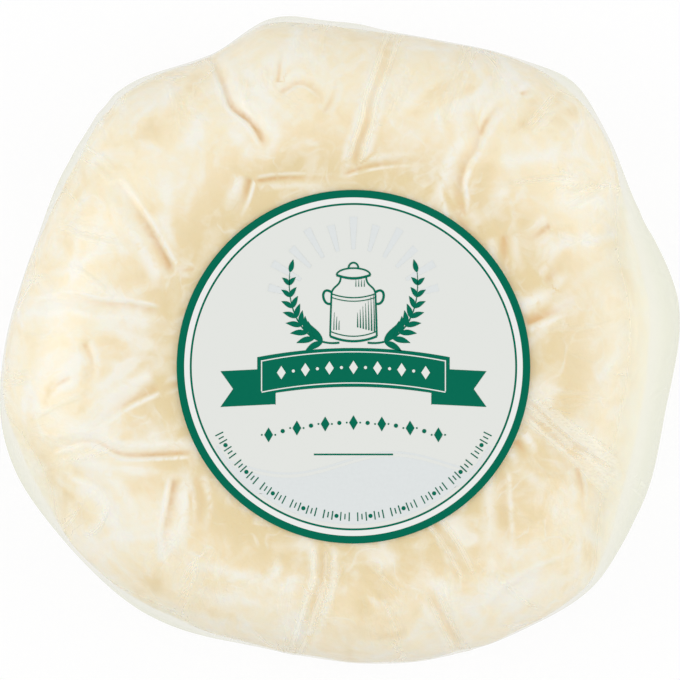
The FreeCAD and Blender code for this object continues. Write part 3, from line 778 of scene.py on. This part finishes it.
class Print:
    """Flat printed shapes, gathered as strips: each is a row of left points and a row of
    right points, in millimetres from the label's centre."""

    def __init__(self):
        self.strips = []

    def between(self, left, right):
        """The area between two lines with as many points each."""
        self.strips.append(np.stack([left, right], axis=1))

    def stroke(self, points, widths):
        """A pen stroke along the points. Its edges lie half its width to each side of
        them, square to the line."""
        points = np.asarray(points, float)
        widths = np.broadcast_to(np.asarray(widths, float), len(points))
        along = np.gradient(points, axis=0)
        along /= np.hypot(along[:, 0], along[:, 1])[:, None]
        aside = points_at(-along[:, 1], along[:, 0]) * widths[:, None] / 2
        self.between(points + aside, points - aside)

    def disc(self, x, y, radius, corners=16):
        """A round dot, as a strip from its left half to its right half."""
        turn = np.linspace(-math.pi / 2, math.pi / 2, corners)
        out, level = radius * np.cos(turn), y + radius * np.sin(turn)
        self.between(points_at(x - out, level), points_at(x + out, level))

    def diamond(self, x, y, half_wide, half_tall):
        """A diamond, as a strip of three crossings."""
        out = np.array([0.0, 1.0, 0.0]) * half_wide
        level = y + np.array([-1.0, 0.0, 1.0]) * half_tall
        self.between(points_at(x - out, level), points_at(x + out, level))

    def leaf(self, base, tip, half_wide, side=0.0):
        """A pointed leaf from base to tip: its half width follows a sine, and its middle
        bends sideways by a parabola."""
        base, tip = np.array(base, float), np.array(tip, float)
        share = np.linspace(0.0, 1.0, 9)[:, None]
        run = tip - base
        across = np.array([-run[1], run[0]]) / np.hypot(*run)
        spine = base + run * share + across * side * 4.0 * share * (1.0 - share)
        out = across * half_wide * np.sin(math.pi * share**0.8)
        self.between(spine + out, spine - out)

    def piece(self, name, height, material):
        """One mesh of all the strips, facing up, that far above the label. Each strip is
        a hair above the one before, as in layers of ink, so that crossings are clean."""
        points, corners, levels, before = [], [], [], 0
        for layer, strip in enumerate(self.strips):
            count = len(strip)
            index = np.arange(2 * count).reshape(count, 2)
            quad = np.stack([index[:-1, 0], index[:-1, 1], index[1:, 1], index[1:, 0]], axis=1)
            flat = strip.reshape(-1, 2)
            a, b, c, d = flat[quad.T]
            area = np.cross(c - a, d - b)
            quad[area < 0] = quad[area < 0][:, ::-1]
            points.append(flat)
            corners.append(before + quad[np.abs(area) > 1e-9])
            levels.append(np.full(2 * count, height + INK_STEP * (layer % INK_STEPS)))
            before += 2 * count
        centre = (LABEL_LOW + LABEL_HIGH) / 2 / MM
        flat = np.concatenate(points) + np.array([centre.x, centre.y])
        quads = np.concatenate(corners)
        where = np.column_stack([flat, LABEL_HIGH.z / MM + np.concatenate(levels)])
        mesh_piece(name, where, quads.ravel(), np.full(len(quads), 4), material, "label_paper")


def bend(*points, count=24):
    """A smooth curve from the first point to the last, drawn towards those between: a
    Bezier curve with them as its controls."""
    share = np.linspace(0.0, 1.0, count)[:, None]
    order = len(points) - 1
    return sum(
        math.comb(order, i) * share**i * (1.0 - share) ** (order - i) * np.array(point, float)
        for i, point in enumerate(points)
    )


def print_churn(ink, foot):
    """A milk churn in line work: a straight body, a round shoulder, a neck and a lid,
    hatched on its shaded side. foot is the height of its base."""
    wide, shoulder, neck, top, rim = 3.3, 6.0, 1.8, 8.4, 2.4
    body = ((wide, 0.0), (wide * 0.98, 3.0), (wide * 0.94, shoulder))
    slope = ((wide * 0.94, shoulder), (wide * 0.9, 7.2), (neck, 7.0), (neck, top))
    handle = ((wide * 0.93, 6.2), (wide + 1.5, 7.4), (wide + 1.2, 4.2), (wide * 0.97, 4.6))
    for side in (-1, 1):
        for line, width in ((body, 0.26), (slope, 0.26), (handle, 0.34)):
            ink.stroke(bend(*[(side * x, foot + y) for x, y in line]), width)
    for level, half, drop, width in (
        (0.0, wide, 0.7, 0.34),
        (0.7, wide, 0.7, 0.16),
        (shoulder, wide * 0.94, 0.55, 0.18),
        (shoulder - 0.5, wide * 0.95, 0.55, 0.14),
        (top, neck, 0.3, 0.2),
    ):
        level += foot
        ink.stroke(bend((-half, level), (0.0, level - 2.0 * drop), (half, level)), width)
    lid = foot + top + 0.25
    ink.stroke(bend((-rim, lid), (0.0, lid - 0.9), (rim, lid)), 0.34)
    ink.stroke(bend((-rim, lid), (-2.2, lid + 1.3), (2.2, lid + 1.3), (rim, lid)), 0.24)
    knob = (-0.7, lid + 1.0), (-0.6, lid + 2.0), (0.6, lid + 2.0), (0.7, lid + 1.0)
    ink.stroke(bend(*knob), 0.26)
    hatches = []
    for step in range(7):
        x, low, rise = wide * (0.9 - 0.12 * step), 0.65 + 0.1 * step, 5.6 - 0.55 * step
        line = (x, low), (x * 0.99, low + rise / 2), (x * 0.95, low - 0.2 + rise)
        hatches.append((line, 0.2))
    for step in range(3):
        x = -wide * (0.84 - 0.11 * step)
        hatches.append((((x, 0.9), (x, 2.2), (x * 0.97, 3.4 - 0.6 * step)), 0.14))
    for step in range(4):
        x = neck * (0.85 - 0.22 * step)
        hatches.append((((x, 7.0), (x, 7.6), (x, 8.0)), 0.14))
    for line, width in hatches:
        line = bend(*[(x, foot + y) for x, y in line])
        ink.stroke(line, np.linspace(width, 0.04, len(line)))


def print_sprig(ink, side, foot):
    """A leafy sprig that arches out beside the churn: a stem with leaves in pairs that
    get smaller to its tip."""
    stem = [(2.0, foot - 0.9), (6.6, foot - 1.6), (9.6, foot + 3.0), (9.0, foot + 9.0)]
    stem = bend(*[(side * x, y) for x, y in stem], count=40)
    ink.stroke(stem, np.linspace(0.3, 0.1, len(stem)))
    for step in range(8):
        at = 7 + 4 * step
        run = stem[at] - stem[at - 1]
        length = 2.9 - 0.2 * step
        for lean in (0.72, -0.72):
            turn = math.atan2(run[1], run[0]) + lean
            tip = stem[at] + length * towards(turn)
            ink.leaf(stem[at], tip, 0.46 - 0.02 * step, side=-0.12 * np.sign(lean))
    ink.leaf(stem[-1], stem[-1] + np.array([-0.5 * side, 1.9]), 0.36)


def print_ribbon(ink, shade, white):
    """A blank ribbon, gently arched, with its ends folded behind and notched, and a
    pattern of diamonds and dots inside a fine frame."""
    half, tall, base, inset, pen = 13.6, 2.75, -1.4, 0.55, 0.16
    hidden, framed = half - 2.6, 0.955      # where the ends go behind; the frame's share

    def arch(x):
        return base + 1.3 * (1.0 - (x / half) ** 2)

    x = np.linspace(-half, half, 48)
    ink.between(points_at(x, arch(x) + tall), points_at(x, arch(x) - tall))
    for side in (-1, 1):
        out = np.linspace(hidden, half + 5.2, 12)
        sag = base - 1.5 - 0.05 * (out - half)
        middle = points_at(side * np.minimum(out, half + 3.4), sag)
        ink.between(points_at(side * out, sag + tall * 0.92), middle)
        ink.between(middle, points_at(side * out, sag - tall * 0.92))
        near, far = side * hidden, (side * half, base - tall)
        fold = np.array([(near, base - 1.5 - tall * 0.9), far])
        shade.between(fold, np.array([(near, base - tall + 0.35), far]))
    for edge in (1, -1):
        white.stroke(points_at(x * framed, arch(x) + edge * (tall - inset)), pen)
    for side in (-1, 1):
        end = side * half * framed
        low = arch(end)
        white.stroke([(end, low - tall + inset), (end, low), (end, low + tall - inset)], pen)
    for step in range(-3, 4):
        at = step * 3.4
        white.diamond(at, arch(at), 0.62, 0.95)
        if step < 3:
            white.disc(at + 1.7, arch(at + 1.7), 0.22)


def print_small_ornaments(ink, print_sizes):
    """Under the ribbon: a row of diamonds and dots, a fine rule, and an arc of small
    ticks inside the ring."""
    for step in range(-6, 7):
        x, y = step * 2.0, -7.9 - 0.012 * (step * 2.0) ** 2
        if step % 2:
            ink.disc(x, y, 0.3)
        else:
            ink.diamond(x, y, 0.62, 1.05)
            ink.disc(x - 0.95, y, 0.13)
            ink.disc(x + 0.95, y, 0.13)
    ink.stroke([(-5.6, -12.4), (0.0, -12.4), (5.6, -12.4)], 0.24)
    rings = (print_sizes.edge_band + print_sizes.white_gap + print_sizes.ring_line) / MM
    arc = LABEL_RADIUS - rings - 1.55
    for step in range(81):
        out = towards(math.radians(205.0 + 130.0 * step / 80))
        if step % 8 == 4:
            ink.disc(*(out * arc), 0.3)
        elif step % 8:
            tall = 0.62 if step % 2 else 0.4
            ink.stroke([out * (arc - tall), out * arc, out * (arc + tall)], 0.17)


def print_meadow(tint):
    """Faint rolling ground low on the label, and faint rays over the churn."""
    reach, furthest = 22.3, 21.8
    for height, swell, phase, pace in ((-13.6, 1.5, 0.4, 0.21), (-16.2, 1.2, 2.2, 0.27)):
        x = np.linspace(-reach, reach, 90)[6:-6]
        rim = np.sqrt(np.maximum(reach**2 - x**2, 0.0))
        crest = np.clip(height + swell * np.sin(x * pace + phase), -rim, rim)
        tint.stroke(points_at(x, crest), 0.3)
        tint.between(points_at(x, crest - 0.6), points_at(x, -rim))
    for step in range(11):
        out, start = towards(math.radians(15.0 + 15.0 * step)), np.array([0.0, 8.0])
        near, far = start + out * 8.6, start + out * (12.4 + 0.8 * (step % 2))
        far *= min(1.0, furthest / np.hypot(*far))
        tint.stroke([near, (near + far) / 2, far], [0.5, 0.8, 1.1])


# ---- Properties ------------------------------------------------------------------


def number(name, description, default, lowest=0.0, **more):
    """A number property, from 0 upwards unless another lowest value is given."""
    return FloatProperty(name=name, description=description, default=default, min=lowest, **more)


def length(name, description, millimetres):
    """A length property with its default in millimetres."""
    return number(name, description, millimetres * MM, precision=5, subtype="DISTANCE")


def count(name, description, default):
    """A whole number property."""
    return IntProperty(name=name, description=description, default=default, min=1)


def colour(name, description, hex_colour):
    """A colour property with its default as an sRGB hex value."""
    settings = {"size": 4, "min": 0.0, "max": 1.0, "subtype": "COLOR"}
    default = linear(hex_colour)
    return FloatVectorProperty(name=name, description=description, default=default, **settings)


class CheeseShape(bpy.types.PropertyGroup):
    """Sizes of the cheese under its film."""

    height: length("Height", "From the base to the top of the dome, without the dimple", 28.0)
    belt_height: length("Belt height", "From the base to the widest line", 11.0)
    base_inset: length("Base inset", "How far the base's edge lies inside the widest line", 7.0)
    flatness: number("Flatness", "How far out the dome's top stays level", 5.6, 2.0)
    shoulder: number("Shoulder", "How round the dome's shoulder is", 2.0, 1.0)
    base_lobes: number(
        "Base lobes", "Share of the bulges left at the base", 0.45, max=1.0, subtype="FACTOR"
    )
    dimple_depth: length("Dimple depth", "How deep the top is sunk under the label", 6.0)
    dimple_floor: length("Dimple floor", "Radius where the dimple starts to rise", 14.0)
    dimple_rim: length("Dimple rim", "Radius where it has risen to the dome", 37.0)
    swell: length("Swell", "How far the soft cheese presses out towards its film", 0.55)
    unevenness: length("Unevenness", "Height of the rind's gentle lumps", 0.22)
    around: count("Points around", "Points round the axis", 760)
    down: count("Rows", "Rows from the label to the base's edge", 114)


class FilmShape(bpy.types.PropertyGroup):
    """Sizes of the clear film round the cheese."""

    clearance: length("Clearance", "How far the film lies off the cheese's smooth dome", 0.75)
    cling: number(
        "Cling", "Share of a fold's depth the film dips", 0.6, max=0.6, subtype="FACTOR"
    )
    label_margin: length("Label margin", "Level film round the label's edge", 2.2)
    pleats: count("Pleats", "Pleats gathered underneath", 24)
    pleat_height: length("Pleat height", "From a pleat's crest to the root of the next", 0.6)
    seal_radius: length("Seal radius", "Radius of the pressed seal underneath", 21.0)
    wrinkles: count("Wrinkles", "Fine wrinkles near its edge", 100)
    around: count("Points around", "Points round the axis", 816)
    down: count("Rows", "Rows from the label to the base's edge", 88)


class LabelPrint(bpy.types.PropertyGroup):
    """Widths of the label's printed rings."""

    edge_band: length("Edge band", "Width of the green band at the label's edge", 1.08)
    white_gap: length("White gap", "White gap inside the band", 0.85)
    ring_line: length("Ring line", "Width of the fine green ring", 0.30)


class Finishes(bpy.types.PropertyGroup):
    """Colours of the pieces."""

    rind_pale: colour("Pale rind", "Rind far from the label", "#fceed3")
    # In the dimple round the label this yellow is also painted shade.
    rind_yellow: colour("Yellow rind", "Rind in the dimple and between smears", "#e9d7a9")
    bloom: colour("Bloom", "White bloom smeared over the rind", "#f9f6ed")
    fold_tan: colour("Fold tan", "Floor of the folds", "#e4c08a")
    film_tint: colour("Film tint", "What the film lets through", "#fbfaf8")
    film_slack: colour("Slack film", "What it lets through where it hangs free", "#f7f8f0")
    # On creases this milky white is partly a painted highlight.
    film_milk_and_sheen: colour("Film haze", "Milkiness of creased film", "#f2f2e6")
    paper_field: colour("Paper field", "The label's printed pale field", "#dcdeda")
    paper_white: colour("Paper white", "The label's unprinted paper", "#e4e5e3")
    ink: colour("Green ink", "Bands and line work", "#02664f")
    ink_shade: colour("Dark green ink", "The ribbon's folds", "#024a3a")
    ink_tint: colour("Pale ink", "Meadow and rays", "#d5d9d9")


class StageSet(bpy.types.PropertyGroup):
    """Camera, lamps and floor."""

    camera_height: length("Camera height", "From the floor to the camera", 420.0)
    view_width: length("View width", "Width seen at the cheese's widest line", 100.0)
    world_light: number("World light", "Strength of the all-round light", 0.79)
    key_light: number("Key light", "Power of the key softbox", 1.68, subtype="POWER")
    fill_light: number("Fill light", "Power of the fill softbox", 1.66, subtype="POWER")


GROUPS = {
    "cheese_shape": CheeseShape,
    "cheese_film": FilmShape,
    "cheese_label": LabelPrint,
    "cheese_finishes": Finishes,
    "cheese_stage": StageSet,
}


# ---- Operators -------------------------------------------------------------------


class MakeCheese(bpy.types.Operator):
    """Makes the folded, dimpled cheese with its smeared bloom"""

    bl_idname = "cheese.make_cheese"
    bl_label = "Make cheese"

    def execute(self, context):
        shape = context.scene.cheese_shape
        profile = Profile(shape)
        azimuth, reach = surface_grid(profile, shape.around, shape.down)
        mx, my = unrolled(azimuth, reach)
        relief, beside, tan, lips = fold_relief(mx, my)
        kept = 1.0 - ramp(reach, profile.fade_from, profile.full)
        out = rind_out(shape, profile, mx, my, relief, kept)
        x, y, z = dome_point(shape, profile, azimuth, reach, out)
        beyond = np.maximum(from_label_centre(x, y) - LABEL_RADIUS - FILL_MARGIN, 0.0)
        filling = LABEL_SEAT - FILL_DROP - FILL_FALL * beyond * beyond
        z = np.where(reach < profile.belt, softly_above(z, filling, FILL_BLEND), z)
        mesh = closed_round(*with_base((x, y, z), CHEESE_FLOOR))
        rind = moist_rind(context.scene.cheese_finishes)
        piece = mesh_piece("cheese_round", *mesh, rind, "cheese_rind")
        bloom = 0.9 * strewn_smears(mx, my, 11, 460, profile.full)
        bloom -= 0.6 * strewn_smears(mx, my, 12, 300, profile.full)
        for *place_and_size, strength in SMEARS:
            bloom += strength * smear(mx, my, *place_and_size)
        # Painted shade of the dimple: the rind is painted deeper yellow towards the label's centre.
        x, y, _ = dome_point(shape, profile, azimuth, reach, 0.0 * reach)
        near = 1.0 - ramp(from_label_centre(x, y), DIMPLE_SHADE_FROM, DIMPLE_SHADE_TO)
        store(piece, BASE_ROWS, bloom=bloom, beside_fold=beside, tan=tan, lips=lips, by_label=near)
        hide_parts("cheese")
        return {"FINISHED"}


class MakeFilm(bpy.types.Operator):
    """Makes the clear film, its ridges, its pleats and the pressed seal underneath"""

    bl_idname = "cheese.make_film"
    bl_label = "Make film"

    def execute(self, context):
        shape, film = context.scene.cheese_shape, context.scene.cheese_film
        profile = Profile(shape)
        azimuth, reach = surface_grid(profile, film.around, film.down)
        mx, my = unrolled(azimuth, reach)
        folds = fold_relief(mx, my)[0]
        kept = 1.0 - ramp(reach, profile.fade_from, profile.full)
        risen, beside, crease = self.creases(mx, my, film.wrinkles)
        flute = azimuth * film.pleats / 360.0 % 1.0
        under = profile.full - profile.belt
        low = ramp(reach, profile.belt + under * FLUTE_START, profile.full)
        tents = (rise * bell(turn_between(azimuth, at) / spread) for at, rise, spread in FILM_TENTS)
        tented = sum(tents) * ramp(reach, TENT_START * profile.belt, profile.belt)
        tented *= 1.0 - ramp(reach, profile.belt, profile.full)
        rind = rind_out(shape, profile, mx, my, folds, kept)
        out = film.clearance / MM * (CLEARANCE_AT_BASE + (1.0 - CLEARANCE_AT_BASE) * kept)
        out += film.cling * np.minimum(folds, 0.0) * kept / (1.0 + tented)
        out = softly_above(out, rind + LEAST_FILM_GAP, FILM_BLEND)
        out += tented + risen + low * film.pleat_height / MM * (1.0 - flute)
        x, y, z = dome_point(shape, profile, azimuth, reach, out)
        margin = LABEL_RADIUS + film.label_margin / MM
        beyond = np.maximum(from_label_centre(x, y) - margin, 0.0)
        plateau = LABEL_SEAT - SEAT_DROP - SEAT_FALL * beyond * beyond
        z = np.where(reach < profile.belt, np.maximum(z, plateau), z)
        z = np.maximum(z, film.pleat_height / MM * flute)
        rows, more = self.gathered((x, y, z), film, flute[0])
        finish = clear_film(context.scene.cheese_finishes)
        piece = mesh_piece("film_wrapper", *closed_round(*rows), finish, "clear_film")

        # Milky where it is pleated, and where it runs free over the cheese's edge.
        beside_cheese = np.hypot(x, y) - through_anchors(CHEESE_OUTLINE, azimuth)
        milk = 0.5 * low * bell(np.minimum(flute, 1.0 - flute) * 6.0)
        over_edge = bell((beside_cheese + 0.8) / 2.4) * ramp(tented, 0.0, 1.8)
        milk = np.maximum(milk, 0.3 * ramp(tented, 0.3, 2.0) + 0.6 * over_edge)
        slack = ramp(beside_cheese, -0.2, 2.0)
        store(piece, more, doubled=milk)
        # crease: how white the nearest crest is painted, partly milkiness and partly painted
        # highlight.
        store(piece, 0.0 * more, slack=slack, crease=crease, beside_crease=beside)
        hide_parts("film_wrap")
        return {"FINISHED"}

    @staticmethod
    def crests(mx, my, wrinkles):
        """The crests one by one: how far beside it each spot is, how strong its white is
        (partly milkiness, partly a painted highlight), and how far it lifts the film. A
        ridge is two thin crests side by side on a low swelling; a wrinkle is one faint crest."""
        for places, rise, apart, milk in FILM_RIDGES:
            gap, along = beside_line(places, mx, my)
            kept = faded_ends(along, 0.1, 0.2)
            yield np.abs(gap) - apart / 2, milk * kept, 0.3 * rise * kept * bell(gap / apart)
        rng = np.random.default_rng(21)
        for _ in range(wrinkles):
            at, start = rng.uniform(0.0, 360.0), rng.uniform(30.0, 50.0)
            run, aside = rng.uniform(6.0, 14.0), rng.normal(0.0, 2.0)
            end = at + rng.normal(0.0, 5.0)
            middle = ((at + end) / 2 + aside, start + run / 2)
            gap, along = beside_line(((at, start), middle, (end, start + run)), mx, my)
            yield gap, rng.uniform(0.15, 0.55) * faded_ends(along, 0.3, 0.3), 0.0

    @classmethod
    def creases(cls, mx, my, wrinkles):
        """How far the crests lift the film, how far beside the nearest crest each spot
        is, and how strong that crest's white is: partly milkiness, partly painted highlight."""
        risen, strength = np.zeros((2, *mx.shape))
        far = 3.0       # millimetres, where no crest is near
        beside = np.full(mx.shape, far)
        for off, height, lift in cls.crests(mx, my, wrinkles):
            away = np.abs(off)
            closer = away < np.abs(beside)
            beside = np.where(closer, off, beside)
            strength = np.where(closer, height * (1.0 - ramp(away, 1.0, 2.0)), strength)
            risen = np.maximum(risen, lift)
        return risen, beside, strength

    @staticmethod
    def gathered(rows, film, flute):
        """The rows with the film turned in under the base: pleats as a sawtooth that
        flattens into the seal, then the level seal. Also how doubled the film is there."""
        edge_x, edge_y = rows[0][-1], rows[1][-1]
        edge, seal = np.hypot(edge_x, edge_y), film.seal_radius / MM
        shares = np.linspace(0.0, 1.0, TURNED_ROWS + 1)[1:, None]
        rise = film.pleat_height / MM * flute * (1.0 - ramp(shares, 0.5, 1.0))
        level = np.zeros((SEAL_ROWS, len(flute)))
        inner = level + np.linspace(1.0, 0.0, SEAL_ROWS + 1)[1:, None] * seal
        radius = np.concatenate([edge + (seal - edge) * shares, inner])
        more = (edge_x / edge * radius, edge_y / edge * radius, np.concatenate([rise, level]))
        crease = bell(np.minimum(flute, 1.0 - flute) * 7.0)
        pleated = 0.35 + 0.4 * crease * np.ones_like(shares)
        return with_more(rows, more), np.concatenate([pleated, level + 0.9])


class MakeLabel(bpy.types.Operator):
    """Finishes the paper label and prints its line work"""

    bl_idname = "cheese.make_label"
    bl_label = "Make label"

    def execute(self, context):
        finishes, sizes = context.scene.cheese_finishes, context.scene.cheese_label
        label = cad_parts["label"]
        paper = coated_paper(finishes, sizes)
        if not label.material_slots:
            label.data.materials.append(paper)
        for slot in label.material_slots:
            slot.material = paper
        green, dark, pale, white = Print(), Print(), Print(), Print()
        foot = 4.3      # how far over the label's centre the churn stands
        print_meadow(pale)
        print_churn(green, foot)
        for side in (-1, 1):
            print_sprig(green, side, foot)
        print_ribbon(green, dark, white)
        print_small_ornaments(green, sizes)
        for gathered, name, height, ink, shade in (
            (pale, "label_meadow", 0.010, "pale_grey_ink", finishes.ink_tint),
            (green, "label_line_work", 0.020, "green_offset_ink", finishes.ink),
            (dark, "label_ribbon_folds", 0.015, "dark_green_ink", finishes.ink_shade),
            (white, "label_ribbon_pattern", 0.030, "bare_paper_white", finishes.paper_field),
        ):
            gathered.piece(name, height, printing_ink(ink, tuple(shade)))
        return {"FINISHED"}


class MakeStage(bpy.types.Operator):
    """Sets the camera, the soft lamps, the white floor and the world"""

    bl_idname = "cheese.make_stage"
    bl_label = "Make stage"

    def execute(self, context):
        scene, stage = context.scene, context.scene.cheese_stage
        centre = Vector([(low + high) / 2 for low, high in zip(*CAD_BOX)])
        self.camera(scene, stage, centre)
        self.softbox("key_softbox", (-0.62, 0.05, 0.42), centre, stage.key_light)
        self.softbox("fill_softbox", (0.62, 0.01, 0.42), centre, stage.fill_light)
        self.floor()
        world = bpy.data.worlds.new("white_tent")
        world.use_nodes = True
        back = world.node_tree.nodes["Background"]
        back.inputs["Color"].default_value = (1.0, 1.0, 1.0, 1.0)
        back.inputs["Strength"].default_value = stage.world_light
        scene.world = world
        scene.view_settings.view_transform = "Standard"
        return {"FINISHED"}

    @staticmethod
    def camera(scene, stage, centre):
        """Looks straight down on the middle of the cheese with a long lens."""
        sensor, widest = 36.0, 12.0 * MM    # the widest line's height over the floor
        camera = placed("camera", bpy.data.cameras.new("camera"))
        camera.location = (centre.x, centre.y, stage.camera_height)
        camera.data.sensor_width = sensor
        camera.data.lens = sensor * (stage.camera_height - widest) / stage.view_width
        camera.data.clip_start = 0.01
        scene.camera = camera

    @staticmethod
    def softbox(name, place, aim, power):
        """A square soft lamp, half a metre wide, that faces the cheese."""
        lamp = placed(name, bpy.data.lights.new(name, "AREA"))
        lamp.data.size = 0.5
        lamp.data.energy = power
        lamp.location = place
        lamp.rotation_euler = (aim - Vector(place)).to_track_quat("-Z", "Y").to_euler()

    @staticmethod
    def floor():
        """A wide white table top that keeps the cheese's soft shadow."""
        half, level = 3.0, -0.1 * MM
        mesh = bpy.data.meshes.new("white_floor")
        corners = [(x * half, y * half, level) for x, y in ((-1, -1), (1, -1), (1, 1), (-1, 1))]
        mesh.from_pydata(corners, [], [(0, 1, 2, 3)])
        material, node = new_material("white_laminate")
        path = node("LightPath").outputs
        seen = node("Math", (path["Is Camera Ray"], path["Is Glossy Ray"]), operation="MAXIMUM")
        seen = node("Math", (seen, path["Is Transmission Ray"]), operation="MAXIMUM")
        share = node("Math", (seen, 0.9), operation="MULTIPLY")
        matte = node("BsdfDiffuse", {"Color": linear("#f4f4f4")})
        glow = node("Emission", {"Color": (1.0, 1.0, 1.0, 1.0), "Strength": 1.0})
        node("OutputMaterial", {"Surface": node("MixShader", (share, matte, glow))})
        mesh.materials.append(material)
        floor = placed("white_floor", mesh)


OPERATORS = [MakeStage, MakeCheese, MakeFilm, MakeLabel]


class CheesePanel(bpy.types.Panel):
    """Lists the sizes, colours and steps"""

    bl_idname = "VIEW3D_PT_cheese"
    bl_label = "Soft sheep cheese"
    bl_space_type = "VIEW_3D"
    bl_region_type = "UI"
    bl_category = "Cheese"

    def draw(self, context):
        for operator in OPERATORS:
            self.layout.operator(operator.bl_idname)
        for group in GROUPS:
            settings = getattr(context.scene, group)
            box = self.layout.box()
            for name in settings.__annotations__:
                box.prop(settings, name)


def register():
    for kind in [*GROUPS.values(), *OPERATORS, CheesePanel]:
        bpy.utils.register_class(kind)
    for name, kind in GROUPS.items():
        setattr(bpy.types.Scene, name, PointerProperty(type=kind))


def unregister():
    for name in GROUPS:
        delattr(bpy.types.Scene, name)
    for kind in reversed([*GROUPS.values(), *OPERATORS, CheesePanel]):
        bpy.utils.unregister_class(kind)


def main():
    register()
    bpy.ops.cheese.make_stage()
    bpy.ops.cheese.make_cheese()
    bpy.ops.cheese.make_film()
    bpy.ops.cheese.make_label()


if __name__ == "__main__":
    main()
